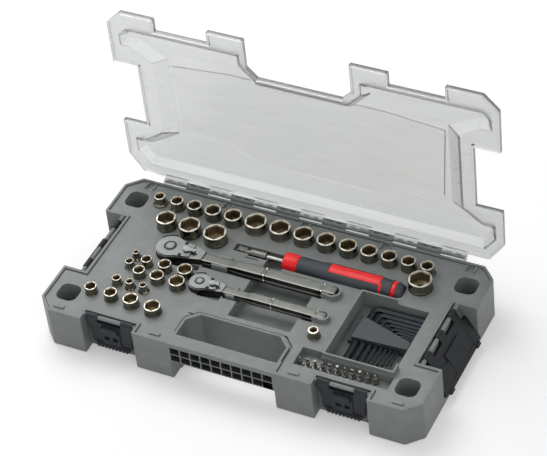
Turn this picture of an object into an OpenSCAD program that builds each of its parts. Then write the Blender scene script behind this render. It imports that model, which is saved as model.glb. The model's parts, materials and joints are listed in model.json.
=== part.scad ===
// Socket wrench set in a carry case: grey base with a tool tray, clear hinged lid, four flip latches,
// two ratchets, thirty-four sockets, a driver, a row of bits and a folding set of hex keys.
// Origin: centre of the base's underside. +X along the case, +Y towards the hinge, +Z up. Millimetres.

/* [Case] */
// Length of the case over its rim
case_l = 440; // [425:1:460]
// Depth of the case from front rim to back rim
case_w = 220; // [216:1:232]
// Height of the base up to its rim
case_h = 52; // [50:1:58]
// Leg of the cut-off corners
corner = 16; // [12:1:18]
// Thickness of the base walls
wall = 3; // [2.4:0.1:3.4]
// Thickness of the base floor
floor_t = 2.5; // [2:0.1:4]
// Width of the ledge that carries the tray
ledge = 2; // [1.5:0.1:2.4]

/* [Tray] */
// How far the tray's deck lies under the rim
deck_drop = 2; // [1.5:0.1:3]
// Thickness of the tray's deck
deck_t = 2.2; // [1.8:0.1:2.6]
// Wall of the wells under the deck
well_t = 1.2; // [1:0.1:1.4]
// Gap between the tray and the rim around it
tray_gap = 0.6; // [0.4:0.1:0.9]
// Radial gap between a socket and its well
well_gap = 0.4; // [0.3:0.05:0.6]

/* [Lid] */
// Height of the lid's skirt
skirt_h = 5.2; // [4.6:0.1:6]
// How far the lid's raised middle stands over its skirt
dome_h = 9.2; // [9:0.1:11]
// Wall of the lid
lid_t = 2.2; // [1.8:0.1:2.4]
// How far the lid's rim stands out beyond the base
lid_over = 2.5; // [0:0.1:3]
// Gap between the closed lid and the rim
lid_gap = 0.3; // [0.3:0.05:0.6]
// Width of the flat flange around the raised middle
flange_w = 8; // [7:0.5:9]
// Run of the slope from the flange up to the raised middle
slope_w = 6; // [5:0.5:7]

/* [Hinge] */
// Distance of the hinge axis behind the back wall
hinge_back = 5.5; // [5.3:0.1:7]
// How far the hinge axis lies under the rim
hinge_drop = 1; // [0.5:0.1:1.4]
// Outer radius of a hinge knuckle
knuckle_r = 4; // [3.6:0.1:4.2]
// Radius of the hinge pin
pin_r = 1.6; // [1.2:0.1:2]
// Length of the row of knuckles
hinge_l = 360; // [340:1:372]
// Running clearance of pins in their bores, on the radius
run_gap = 0.05; // [0.03:0.01:0.08]

/* [Latches] */
// Width of a front latch recess
bay_w = 61; // [56:1:64]
// Distance of a front latch recess from the middle of the case
bay_x = 134; // [132:1:138]
// Depth of a front latch recess
bay_d = 14.2; // [14:0.1:15.2]
// Length of a side latch recess
side_w = 92; // [86:1:96]
// Depth of a side latch recess at the rim
side_d = 27; // [26:0.1:28.5]
// Slant of a folded side latch
side_tilt = 31; // [28:1:32]
// Radius of the bars that the latches turn on
bar_r = 2.3; // [1.8:0.1:2.5]
// Drop of a front latch below its bar
latch_h = 39; // [34:0.5:42]

/* [Handle] */
// Length of the grip bar
grip_l = 119; // [110:1:124]
// Depth of the grip bar from front to back
grip_d = 15.5; // [13:0.5:17]
// Height of the grip bar
grip_h = 26; // [22:1:30]
// Depth of the hand hole behind the grip bar
hole_d = 34.5; // [32:0.5:36]
// Columns of ribbed pockets in the grip bar's face
grip_cols = 10; // [8:1:12]

/* [Sockets] */
// Length of the three-eighths drive sockets
socket38_l = 28; // [25:0.5:29]
// Length of the quarter drive sockets
socket14_l = 25; // [22:0.5:26]
// Share of a socket's length that its foot takes
foot_share = 0.64; // [0.5:0.02:0.66]
// Height of the three-eighths drive sockets over the deck
proud38 = 11.5; // [9:0.5:12]
// Height of the four large sockets over the deck
proud_large = 13; // [11:0.5:13]
// Height of the quarter drive sockets over the deck
proud14 = 9.5; // [8:0.5:11]
// Gap between neighbours in the long socket row
row_gap = 5; // [4.6:0.1:5.2]

/* [Ratchets] */
// Head radius of the three-eighths ratchet
head38_r = 16; // [15:0.1:16.5]
// Length of the three-eighths ratchet from drive centre to handle end
reach38 = 196; // [190:1:198]
// Head radius of the quarter ratchet
head14_r = 12; // [11.4:0.1:12.4]
// Length of the quarter ratchet from drive centre to handle end
reach14 = 147; // [142:1:149]

/* [Driver] */
// Diameter of the driver's grip
grip_dia = 24; // [22:0.5:24]
// Length of the driver from its collar to its end
grip_len = 138; // [134:1:138]
// Diameter of the driver's shaft
shaft_dia = 6.4; // [5:0.1:7]

/* [Hidden] */

// ---- shared sizes of the case
half_l = case_l / 2;
half_w = case_w / 2;
deck_z = case_h - deck_drop;
tray_in = wall + tray_gap;
diag = 2 - sqrt(2);
side_y = 1.7;
bar_z = case_h - bar_r + 0.1;
ear_r = 3.6;
front_bar_y = -half_w + bay_d - ear_r - 0.6;
side_bar_x = half_l - side_d + ear_r + 0.9;
hinge_y = half_w + hinge_back;
hinge_z = case_h - hinge_drop;
seg = hinge_l / 13;
seg_gap = 0.35;
grip_z = case_h - grip_h;
hole_y0 = -half_w + grip_d;
hole_y1 = hole_y0 + hole_d;
cut = 1;
far = 100;

// ---- plan outline of the case, moved inwards by t, without its bays
module octagon(t, c = corner) {
  x = half_l - t;
  y = half_w - t;
  k = c - diag * t;
  polygon([[x - k, -y], [x, -y + k], [x, y - k], [x - k, y],
           [-x + k, y], [-x, y - k], [-x, -y + k], [-x + k, -y]]);
}

// front latch bays, grown by t
module bays(t) {
  for (s = [-1, 1])
    translate([s * bay_x, -half_w]) square([bay_w + 2 * t, 2 * (bay_d + t)], center = true);
}

// hand hole behind the grip bar, grown by t
module hand_hole(t) {
  x = grip_l / 2 - 1.5 + t;
  k = 12;
  polygon([[-x, hole_y0 - t], [x, hole_y0 - t], [x, hole_y1 + t - k], [x - k, hole_y1 + t],
           [-x + k, hole_y1 + t], [-x, hole_y1 + t - k]]);
}

// side latch bay: a shelf under the rod, then a slope that carries the folded latch
side_in = half_l - side_d;
shelf_z = bar_z - ear_r - 2;
side_rest = 2;
function slope_x(t, z) =
  side_bar_x - (side_rest + t + sin(side_tilt) * (z - bar_z)) / cos(side_tilt);
function slope_z(t, x) =
  bar_z - (side_rest + t + cos(side_tilt) * (x - side_bar_x)) / sin(side_tilt);
module side_bays(t) {
  for (s = [-1, 1]) mirror([s < 0 ? 1 : 0, 0, 0])
    translate([0, side_y + side_w / 2 + t, 0]) rotate([90, 0, 0]) linear_extrude(side_w + 2 * t)
      polygon([[side_in - t, case_h + far], [side_in - t, shelf_z - t],
               [slope_x(t, shelf_z - t), shelf_z - t], [half_l + far, slope_z(t, half_l + far)],
               [half_l + far, case_h + far]]);
}

// ---- case base
module base_outer() {
  difference() {
    linear_extrude(case_h) difference() {
      octagon(0);
      bays(0);
    }
    translate([0, 0, -cut]) linear_extrude(case_h + 2 * cut) hand_hole(0);
    translate([-grip_l / 2, -half_w - cut, -cut]) cube([grip_l, grip_d + 2 * cut, grip_z + cut]);
    side_bays(0);
  }
}

module base_cavity(t, z0, z1) {
  difference() {
    translate([0, 0, z0]) linear_extrude(z1 - z0) difference() {
      octagon(t);
      bays(t);
      hand_hole(t);
      translate([-grip_l / 2 - t, -half_w]) square([grip_l + 2 * t, grip_d + t]);
    }
    side_bays(t);
  }
}

module grip_pockets() {
  pitch = grip_l / grip_cols;
  rib = 1.6;
  row = (grip_h - 7) / 2;
  for (i = [0:grip_cols - 1]) for (j = [0, 1])
    translate([-grip_l / 2 + i * pitch + rib / 2, -half_w - cut, grip_z + 1.5 + j * (row + 0.5)])
      cube([pitch - rib, grip_d - 3 + cut, row - 1]);
}

module knuckles(list, r, l) {
  for (i = list) translate([-hinge_l / 2 + (i + 0.5) * seg, hinge_y, hinge_z])
    rotate([0, 90, 0]) cylinder(r = r, h = l, center = true, $fn = 48);
}
base_knuckles = [1:2:11];
lid_knuckles = [0:2:12];

module case_base() color("#7d817f") difference() {
  union() {
    difference() {
      base_outer();
      base_cavity(wall + ledge, floor_t, case_h + cut);
      base_cavity(wall, deck_z - deck_t, case_h + cut);
      grip_pockets();
    }
    for (s = [-1, 1]) translate([s * bay_x, front_bar_y, bar_z]) rotate([0, 90, 0])
      cylinder(r = bar_r, h = bay_w + wall, center = true, $fn = 32);
    for (s = [-1, 1]) translate([s * side_bar_x, side_y, bar_z]) rotate([90, 0, 0])
      cylinder(r = bar_r, h = side_w + wall, center = true, $fn = 32);
    knuckles(base_knuckles, knuckle_r, seg - seg_gap);
    for (i = base_knuckles)
      translate([-hinge_l / 2 + i * seg + seg_gap / 2, half_w - 1, hinge_z - knuckle_r])
        cube([seg - seg_gap, hinge_back + 1, knuckle_r]);
  }
  translate([-half_l, hinge_y, hinge_z]) rotate([0, 90, 0])
    cylinder(r = pin_r + run_gap, h = case_l, $fn = 32);
}

module hinge_pin() color("#8c8f92") translate([-hinge_l / 2 + 1, hinge_y, hinge_z]) rotate([0, 90, 0])
  cylinder(r = pin_r, h = hinge_l - 2, $fn = 32);

// ---- sockets: [x, y, size across flats], rows worked out from the sizes
inch = 25.4;
function od38(s) = 1.16 * s + 3.8;
function foot38(s) = max(od38(s), 16.4);
function od14(s) = 1.2 * s + 2.6;
function foot14(s) = max(od14(s), 11.8);
row_sizes = concat([for (k = [5:9]) k * inch / 16], [for (s = [18:-1:10]) s]);
row_y = 81.3;
row_x0 = -167.9;
function row_x(i) = i == 0 ? row_x0
  : row_x(i - 1) + (foot38(row_sizes[i - 1]) + foot38(row_sizes[i])) / 2 + row_gap;
row38 = [for (i = [0:13]) [row_x(i), row_y, row_sizes[i]]];
large38 = [[-144.2, 51, 10 * inch / 16], [-114.8, 50, 11 * inch / 16],
           [-83.4, 48.6, 12 * inch / 16], [grip_len + 14, 58.7, 19]];
col14 = [-152, -136, -114, -90];
set14 = [[col14[0], -5.3, 4], [col14[1], -11, 8], [col14[2], -11, 10], [col14[3], -10.5, 12],
         [col14[0], -20, 6], [col14[1], -28.5, 9], [col14[2], -29, 11], [col14[3], -29.5, 12.5],
         [col14[0] - 1, -47.7, 6.35], [col14[1] - 1, -47.7, 5.5], [-121, -47.7, 5],
         [-173, -68.5, 9], [-148.5, -69.5, 10], [-123.7, -70.5, 12], [-97, -72, 13]];
adapter = [77, -45, 6.35];

module socket(pos, len, proud, od, foot, drive, hex_d) {
  top = deck_z + proud;
  z0 = top - len;
  r = od / 2;
  rf = foot / 2;
  step = len * foot_share;
  rim = 0.6;
  translate([pos[0], pos[1], z0]) difference() {
    rotate_extrude($fn = 48) polygon([[0, 0], [rf - rim, 0], [rf, rim], [rf, step],
      [r, step + (rf - r)], [r, len - rim], [r - rim, len], [0, len]]);
    translate([0, 0, len - hex_d]) cylinder(d = pos[2] / cos(30), h = hex_d + cut, $fn = 6);
    translate([0, 0, drive]) cylinder(r = min(pos[2], drive) * 0.42, h = len, $fn = 24);
    translate([-drive / 2, -drive / 2, -cut]) cube([drive, drive, drive + 1 + cut]);
  }
}
drive38 = 9.5;
drive14 = 6.35;
module socket38(pos, proud) color("#6b6a66")
  socket(pos, socket38_l, proud, od38(pos[2]), foot38(pos[2]), drive38, 12);
module socket14(pos) color("#74736f")
  socket(pos, socket14_l, proud14, od14(pos[2]), foot14(pos[2]), drive14, 9);
module bit_adapter() color("#7c7b78") translate([adapter[0], adapter[1], deck_z + proud14 - socket14_l])
  difference() {
    union() {
      cylinder(d = 13.5, h = socket14_l - 1, $fn = 48);
      cylinder(d = 12.3, h = socket14_l, $fn = 48);
    }
    translate([0, 0, socket14_l - 11]) cylinder(d = adapter[2] / cos(30), h = 12, $fn = 6);
    translate([-drive14 / 2, -drive14 / 2, -cut]) cube([drive14, drive14, drive14 + 1 + cut]);
  }

// ---- tray
module tray_plan() {
  difference() {
    octagon(tray_in);
    bays(tray_in);
    hand_hole(tray_in + 1.4);
    translate([-grip_l / 2 - tray_in, -half_w]) square([grip_l + 2 * tray_in, grip_d + tray_in]);
    for (s = [-1, 1]) translate([s * half_l, side_y])
      square([2 * (side_d + tray_in), side_w + 2 * tray_in], center = true);
  }
}

seat = 0.3;
module cup(p, r, foot, t) translate([p[0], p[1], foot - seat - t])
  cylinder(r = r + well_gap + t, h = deck_z - foot + seat + t + (t > 0 ? 0 : cut), $fn = 48);
module wells(t) {
  for (p = row38) cup(p, foot38(p[2]) / 2, deck_z + proud38 - socket38_l, t);
  for (p = large38) cup(p, foot38(p[2]) / 2, deck_z + proud_large - socket38_l, t);
  for (p = set14) cup(p, foot14(p[2]) / 2, deck_z + proud14 - socket14_l, t);
  cup(adapter, 13.5 / 2, deck_z + proud14 - socket14_l, t);
}

// corner pockets that the feet of a case stacked on top drop into
pocket = 24;
pocket_r = 8;
pocket_z = 26;
module corner_pockets(t) {
  for (sx = [-1, 1]) for (sy = [-1, 1]) translate([sx * 196, sy * 77.5, pocket_z - t])
    linear_extrude(deck_z - pocket_z + t + (t > 0 ? 0 : cut)) union() {
      square([pocket + 2 * t, pocket - 2 * pocket_r], center = true);
      square([pocket - 2 * pocket_r, pocket + 2 * t], center = true);
      for (x = [-1, 1]) for (y = [-1, 1])
        translate([x, y] * (pocket / 2 - pocket_r)) circle(r = pocket_r + t, $fn = 32);
    }
}

// boxes sunk into the deck: [x0, y0, x1, y1, floor]
bin = [100, -67, 175, 27.5, 34];
bin_wall = 2;
bin_top = deck_z + 6;
trough = [73, -88, 178, -70, 40];
trough_end = [73, -88, 97, -63, 40];
finger = [-21, -49, 51, 26.5, 33];
module sunk(b, t) translate([b[0] - t, b[1] - t, b[4] - t])
  cube([b[2] - b[0] + 2 * t, b[3] - b[1] + 2 * t, deck_z - b[4] + t + (t > 0 ? 0 : cut)]);
module wall_box(x0, y0, x1, y1, z1) translate([x0, y0, deck_z - deck_t])
  cube([x1 - x0, y1 - y0, z1 - deck_z + deck_t]);

bit_pitch = 8.2;
bit_x0 = 76.8;
bit_foot = 27.3;
bit_af = 6.35;
bit_fit = 0.35;
function bit_x(i) = bit_x0 + i * bit_pitch;
function bit_y(i) = -78.6 + 0.4 * i;
module bit_holes() for (i = [0:10]) translate([bit_x(i), bit_y(i), bit_foot - seat]) rotate([0, 0, 30])
  cylinder(d = (bit_af + 2 * bit_fit) / cos(30), h = trough[4] - bit_foot + seat + cut, $fn = 6);

// ---- ratchets: [x, y, head radius, reach, thickness, neck length, neck radius, grip radius,
//                 drive size, selector distance, screw x, screw y, clip start, clip length]
ax_z = deck_z + 0.5;
R38 = [-121.5, 17, head38_r, reach38, 13, 42, 5.6, 7.4, drive38, 20, 15.5, 9.2, 52.5, 18];
R14 = [-67.8, -19.3, head14_r, reach14, 10, 30, 4.3, 5.8, drive14, 15, 12, 6.7, 32.5, 10];
cover_t = 1.5;
function gear_r(R) = R[2] * 0.62;
function boss_r(R) = R[2] * 0.45;
function spindle_r(R) = R[8] * 0.72;
function button_r(R) = R[2] * 0.3;
function pivot_r(R) = R[4] * 0.2;
function drive_l(R) = R[8] * 1.1;
function end_r(R) = R[7] - 2;
function body_z(R) = ax_z - R[4] / 2;
end_len = 14;

module head_shape(R, t, h) {
  r = R[2] + t;
  rn = R[6] + 1 + t;
  s = (r - rn) / R[5];
  c = sqrt(1 - s * s);
  cylinder(r = r, h = h, $fn = 64);
  linear_extrude(h) polygon([[0, -r * c + 0.3], [R[5] + rn * s, -rn * c],
                             [R[5] + rn * s, rn * c], [0, r * c - 0.3]]);
}
module screw_spots(R) for (s = [-1, 1]) translate([R[10], s * R[11], 0]) children();

module ratchet_body(R) color("#b9bbbd") translate([R[0], R[1], body_z(R)]) difference() {
  union() {
    head_shape(R, 0, R[4]);
    translate([0, 0, R[4] / 2]) rotate([0, 90, 0]) rotate_extrude($fn = 48)
      polygon([[0, R[5] - 8], [R[6], R[5] - 8], [R[6], R[5] + 32], [R[7], R[5] + 38],
               [R[7], R[3] - end_len - 2], [end_r(R), R[3] - end_len],
               [end_r(R), R[3] - 1], [end_r(R) - 1, R[3]], [0, R[3]]]);
  }
  translate([0, 0, 2]) cylinder(r = gear_r(R) + 0.1, h = R[4], $fn = 64);
  translate([0, 0, -cut]) cylinder(r = spindle_r(R) + run_gap, h = R[4], $fn = 48);
  translate([R[9], 0, 3]) cylinder(r = pivot_r(R) + run_gap, h = R[4], $fn = 32);
  screw_spots(R) translate([0, 0, 5]) cylinder(r = 1.1, h = R[4], $fn = 24);
}

module ratchet_cover(R) color("#c4c6c8") translate([R[0], R[1], body_z(R) + R[4]]) difference() {
  intersection() {
    head_shape(R, -1, cover_t);
    translate([-R[2], -R[2], 0]) cube([R[2] + R[9] + 6, 2 * R[2], cover_t]);
  }
  translate([0, 0, -cut]) cylinder(r = boss_r(R) + 0.1, h = cover_t + 2 * cut, $fn = 48);
  translate([R[9], 0, -cut]) cylinder(r = pivot_r(R) + run_gap, h = cover_t + 2 * cut, $fn = 32);
  screw_spots(R) {
    translate([0, 0, -cut]) cylinder(r = 1.1, h = cover_t + 2 * cut, $fn = 24);
    translate([0, 0, 0.7]) cylinder(r = 2.2, h = cover_t, $fn = 32);
  }
}

module ratchet_screws(R) color("#8f9193") translate([R[0], R[1], body_z(R) + R[4]]) screw_spots(R)
  difference() {
    union() {
      translate([0, 0, 0.73]) cylinder(r = 2.1, h = 1.17, $fn = 32);
      translate([0, 0, -4]) cylinder(r = 1.05, h = 5, $fn = 24);
    }
    for (a = [0, 90]) rotate([0, 0, a]) translate([-1.2, -0.3, 1.2]) cube([2.4, 0.6, 2]);
  }

module ratchet_selector(R) color("#9fa2a4") translate([R[0] + R[9], R[1], body_z(R)]) {
  top = R[4] + cover_t + 0.3;
  k = R[2] / 16;
  translate([0, 0, 3.2]) cylinder(r = pivot_r(R), h = top - 3.2, $fn = 32);
  translate([0, 0, top]) cylinder(r = 4.4 * k, h = 2.4, $fn = 32);
  translate([0, -2.2 * k, top]) cube([9 * k, 4.4 * k, 2.4]);
  translate([9 * k, 0, top]) cylinder(r = 2.2 * k, h = 2.4, $fn = 32);
  translate([6.5 * k, -2.2 * k, top]) cube([1.2, 4.4 * k, 3.2]);
}

module ratchet_drive(R) color("#a9abad") translate([R[0], R[1], body_z(R)]) difference() {
  union() {
    translate([0, 0, 2.1]) cylinder(r = gear_r(R), h = R[4] - 2.3, $fn = 64);
    translate([0, 0, -0.8]) cylinder(r = spindle_r(R), h = 3.5, $fn = 48);
    translate([0, 0, 3]) cylinder(r = boss_r(R), h = R[4] + cover_t - 3.2, $fn = 48);
    translate([-R[8] / 2 + 0.1, -R[8] / 2 + 0.1, -0.8 - drive_l(R)])
      cube([R[8] - 0.2, R[8] - 0.2, drive_l(R) + 1]);
  }
  translate([0, 0, R[4] + cover_t - 5.2]) cylinder(r = button_r(R) + run_gap, h = 10, $fn = 32);
}

module ratchet_button(R) color("#8a8d8f") translate([R[0], R[1], body_z(R) + R[4] + cover_t])
  union() {
    translate([0, 0, -3.4]) cylinder(r = button_r(R), h = 4, $fn = 32);
    translate([0, 0, -3.4]) cylinder(r = button_r(R) - 1, h = 4.5, $fn = 32);
  }

// what a ratchet needs in the deck: head pocket, drive well, handle channel, clip, end boss
module ratchet_sunk(R, t) {
  up = deck_z + (t > 0 ? 0 : cut);
  translate([R[0], R[1], 0]) {
    head_z = body_z(R) - seat - t;
    translate([0, 0, head_z]) head_shape(R, 0.8 + t, up - head_z);
    well_z = body_z(R) - 0.8 - drive_l(R) - seat - t;
    translate([0, 0, well_z]) cylinder(r = R[8] * 0.75 + 0.6 + t, h = up - well_z, $fn = 48);
    floor_z = ax_z - R[7] - 0.75 - t;
    translate([R[5] - 0.4 - t, -R[7] - 3 - t, floor_z])
      cube([R[3] - end_len - R[5] + 1 + 2 * t, 2 * R[7] + 3.8 + 2 * t, up - floor_z]);
    translate([2 - t, -R[2] - 2.4 - t, head_z + 0.4]) cube([R[5] - 4 + 2 * t, 8, up - head_z - 0.4]);
  }
}
module ratchet_clip(R) translate([R[0] + R[12], R[1], 0]) {
  foot = ax_z - R[6] - seat;
  low = ax_z - R[7] - 1.2;
  wall_y = R[6] + 0.35;
  translate([0, -R[7] - 1, low]) cube([R[13], 2 * R[7] + 2, foot - low]);
  for (s = [-1, 1]) translate([0, s * (wall_y + 1) - 1, low]) cube([R[13], 2, ax_z + R[6] - 1.2 - low]);
  translate([1, R[7] + 1.8, deck_z - deck_t]) cube([R[13] - 2, 2.2, deck_t + 2.5]);
}
// low wall round the back of a ratchet's head
module ratchet_fence(R) translate([R[0], R[1], deck_z - 0.5]) rotate([0, 0, 84])
  rotate_extrude(angle = 56, $fn = 72) translate([R[2] + 1.7, 0]) square([2.2, 3.5]);
boss_h = 6;
module ratchet_boss(R, t) translate([R[0] + R[3], R[1], 0]) {
  r = end_r(R) + 0.5 + t;
  low = ax_z - end_r(R) - seat - (t > 0 ? 1.2 : 0);
  h = deck_z + boss_h + (t > 0 ? 0 : cut) - low;
  start = t > 0 ? -end_len + 0.2 : -end_len - 3;
  translate([start, -r, low]) cube([-4 - start, 2 * r, h]);
  translate([-4, 0, low]) cylinder(r = r + 0.9, h = h, $fn = 48);
}

// ---- driver, drawn along its own axis from the collar
driver_y = 46;
driver_z = deck_z - 2;
gr = grip_dia / 2;
module along() translate([0, driver_y, driver_z]) rotate([0, 90, 0]) children();
sleeve_r = 5.6;
core_r = 8;
ring_x = grip_len - 12;
module driver_shaft() color("#b3b5b7") along() union() {
  translate([0, 0, -46]) cylinder(d = shaft_dia, h = 61, $fn = 32);
  translate([0, 0, -39]) cylinder(r = sleeve_r, h = 18, $fn = 48);
  translate([-drive14 / 2, -drive14 / 2, -55]) cube([drive14, drive14, 10]);
}
module driver_core() color("#cf2226") along() difference() {
  union() {
    rotate_extrude($fn = 48) polygon([[0, 0], [8, 0], [10.6, 1.2], [11.3, 4], [11.3, 12],
      [10.8, 16], [10.3, 17.8], [core_r, 17.8], [core_r, ring_x], [gr - 1.4, ring_x + 0.2],
      [gr - 1.2, ring_x + 5], [core_r, ring_x + 5.2], [core_r, grip_len - 3], [0, grip_len - 3]]);
    intersection() {
      translate([0, 0, 54.4]) cylinder(r = gr - 0.2, h = 59, $fn = 64);
      translate([-gr, -6.4, 54.4]) cube([gr - core_r + 1.1, 12.8, 59]);
    }
  }
  translate([0, 0, -cut]) cylinder(d = shaft_dia + 0.04, h = 16.2 + cut, $fn = 32);
}
module driver_grip() color("#2b2c2d") along() difference() {
  rotate_extrude($fn = 64) polygon([[core_r + 0.04, 18], [gr - 1.8, 18], [gr - 2.2, 26],
    [gr - 2.2, 35], [gr - 1.4, 43], [gr - 0.3, 50], [gr, 57], [gr, 110], [gr - 1, 119],
    [gr - 1, ring_x - 0.2], [core_r + 0.04, ring_x - 0.2]]);
  translate([-gr - cut, -6.5, 54.2]) cube([gr - core_r + 2.2, 13, 59.4]);
}
module grip_end() color("#2b2c2d") along() rotate_extrude($fn = 64)
  polygon([[core_r + 0.04, ring_x + 5.4], [gr - 1.2, ring_x + 5.4], [gr - 2.2, grip_len - 3],
           [gr - 4.5, grip_len], [0, grip_len], [0, grip_len - 2.9], [core_r + 0.04, grip_len - 2.9]]);
module driver_sunk(t) {
  along() rotate_extrude($fn = 64) polygon([[0, -1 - t], [gr + 0.5 + t, -1 - t],
    [gr + 0.5 + t, 124 + t / 2], [gr - 0.4 + t, 127 + t / 2], [gr - 0.4 + t, ring_x + 6],
    [gr - 3.2 + t, grip_len + 0.8 + t], [0, grip_len + 0.8 + t]]);
}
slot_z = driver_z - sleeve_r - seat;
shaft_slot = [-60, driver_y - shaft_dia / 2 - 0.8, 2, driver_y + 7, slot_z];
sleeve_slot = [-41, driver_y - sleeve_r - 0.8, -19, driver_y + 7, slot_z - 0.4];
collar_hole = [-18, 28.8, 3, driver_y, slot_z - 3.5];

sunk_boxes = [bin, trough, trough_end, finger, shaft_slot, sleeve_slot, collar_hole];
// narrow slots through the deck, [x, y, length]
module deck_slots() for (p = [[-35, 36.6, 15], [-57, -60, 9]])
  translate([p[0] - p[2] / 2, p[1] - 0.8, deck_z - deck_t - cut]) cube([p[2], 1.6, deck_t + 2 * cut]);

// ---- deck furniture that stands over the deck
lug = [12, 4, 1.6];
module lugs() for (x = [-195, -80, 80, 195])
  translate([x - lug[0] / 2, -half_w + 7.5, deck_z - 0.5]) cube([lug[0], lug[1], lug[2] + 0.5]);
notch_xs = [-191, -95, -2, 93, 191];
module notch_ribs() for (x = notch_xs) for (s = [-1, 1])
  translate([x + s * 5 - 0.9, half_w - tray_in - 9, deck_z - 0.5]) cube([1.8, 8.6, 2.3]);
module notch_pits() for (x = notch_xs)
  translate([x - 3.6, half_w - tray_in - 8, deck_z - 1.4]) cube([7.2, 7, 3]);

module whole_tray() color("#838785") union() {
  difference() {
    union() {
      translate([0, 0, deck_z - deck_t]) linear_extrude(deck_t) tray_plan();
      wells(well_t);
      corner_pockets(well_t);
      for (b = sunk_boxes) sunk(b, well_t);
      for (R = [R38, R14]) {
        ratchet_sunk(R, well_t);
        ratchet_boss(R, 2.4);
      }
      intersection() {
        driver_sunk(well_t);
        translate([-far, -far, 0]) cube([3 * far, 3 * far, deck_z]);
      }
      translate([bit_x(0) - 5, bit_y(0) - 5.2, bit_foot - seat - 1])
        cube([10 * bit_pitch + 10, bit_y(10) - bit_y(0) + 10.4, trough[4] - bit_foot + 0.8]);
      wall_box(bin[0] - bin_wall, bin[1] - bin_wall, bin[0], bin[3] + bin_wall, bin_top);
      wall_box(bin[0] - bin_wall, bin[3], 139, bin[3] + bin_wall, bin_top);
      wall_box(bin[0] - bin_wall, bin[1] - bin_wall, bin[2] + bin_wall, bin[1], bin_top);
      wall_box(bin[2], bin[1] - bin_wall, bin[2] + bin_wall, bin[1] + 11, bin_top);
      lugs();
      notch_ribs();
      for (R = [R38, R14]) ratchet_fence(R);
    }
    wells(0);
    corner_pockets(0);
    for (b = sunk_boxes) sunk(b, 0);
    deck_slots();
    for (R = [R38, R14]) {
      ratchet_sunk(R, 0);
      ratchet_boss(R, 0);
    }
    driver_sunk(0);
    bit_holes();
    notch_pits();
  }
  for (R = [R38, R14]) ratchet_clip(R);
}

// the tray is one moulding, handed over in three parts that meet along stepped lines:
// [x in front of seam_y, x behind it]
seam_left = [-23.8, -35.5];
seam_right = [55, 71.6];
seam_y = 67;
module tray_part(a, b) intersection() {
  whole_tray();
  linear_extrude(2 * case_h) polygon([[a[0], -case_w], [b[0], -case_w], [b[0], seam_y],
    [b[1], seam_y], [b[1], case_w], [a[1], case_w], [a[1], seam_y], [a[0], seam_y]]);
}
module tool_tray_left() tray_part([-case_l, -case_l], seam_left);
module tool_tray_middle() tray_part(seam_left, seam_right);
module tool_tray_right() tray_part(seam_right, [case_l, case_l]);

// ---- bits: hex shanks with a tip each
module bit(i) translate([bit_x(i), bit_y(i), bit_foot]) union() {
  rotate([0, 0, 30]) cylinder(d = bit_af / cos(30), h = 14.5, $fn = 6);
  kind = i > 8 ? 0 : i % 3;
  tip_r = i > 8 ? 2.7 : 2.2;
  translate([0, 0, 14.4]) cylinder(r = tip_r, h = 5.2, $fn = 24);
  if (kind == 0) translate([0, 0, 19.5]) difference() {
    cylinder(r1 = tip_r, r2 = 0.7, h = 4.6, $fn = 24);
    for (a = [45, 135, 225, 315]) rotate([0, 0, a]) translate([0.5, 0.5, 0.6]) cube([3, 3, 5]);
  }
  if (kind == 1) translate([-2, -0.5, 19]) cube([4, 1, 5]);
  if (kind == 2) translate([0, 0, 19.5]) cylinder(r = 1.8, h = 4.5, $fn = 6);
}
module bits() color("#9b9da0") for (i = [0:10]) bit(i);

// ---- hex keys, nested in one holder
key_size = [for (k = [16, 14, 12, 10, 9, 8, 7, 6, 5]) k * inch / 64];
key_z = 40.5;
key_x0 = 116.5;
key_y0 = 21.4;
key_end = bin[2] - 2.5;
key_front = -60;
function key_x(i) = i == 0 ? key_x0 : key_x(i - 1) + (key_size[i - 1] + key_size[i]) / 2 + 2.7 - 0.14 * i;
function key_y(i) = i == 0 ? key_y0 : key_y(i - 1) - (key_size[i - 1] + key_size[i]) / 2 - 0.35;
function key_bend(i) = key_size[i] * 0.9 + 0.6;
module key_hex(i, l) rotate([0, 0, 30]) cylinder(d = key_size[i] / cos(30), h = l, $fn = 6);
module key(i) {
  x = key_x(i);
  y = key_y(i);
  b = key_bend(i);
  front = key_front + i * 1.5;
  translate([x, y - b, key_z]) rotate([90, 0, 0]) key_hex(i, y - b - front);
  translate([x + b, y - b, key_z]) rotate([0, 0, 90]) rotate_extrude(angle = 90, $fn = 48)
    translate([b, 0]) rotate(30) circle(d = key_size[i] / cos(30), $fn = 6);
  translate([x + b, y, key_z]) rotate([0, 90, 0]) rotate([0, 0, 90])
    key_hex(i, key_end - x - b);
}
module hex_keys() color("#26272a") for (i = [0:8]) key(i);

module hex_key_holder() color("#2f3033") difference() {
  translate([0, 0, bin[4] + seat]) union() {
    linear_extrude(11.7) polygon([[key_x0 - 5.5, -28.5], [key_end, -26], [key_end, -16], [key_x0 - 4.5, 3]]);
    translate([key_x0 - 10, -28, 0]) cube([6, 38, 5]);
  }
  for (i = [0:8]) translate([key_x(i), 12, key_z]) rotate([90, 0, 0])
    cylinder(r = key_size[i] / 2 / cos(30) + 0.05, h = 60, $fn = 24);
}

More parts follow.
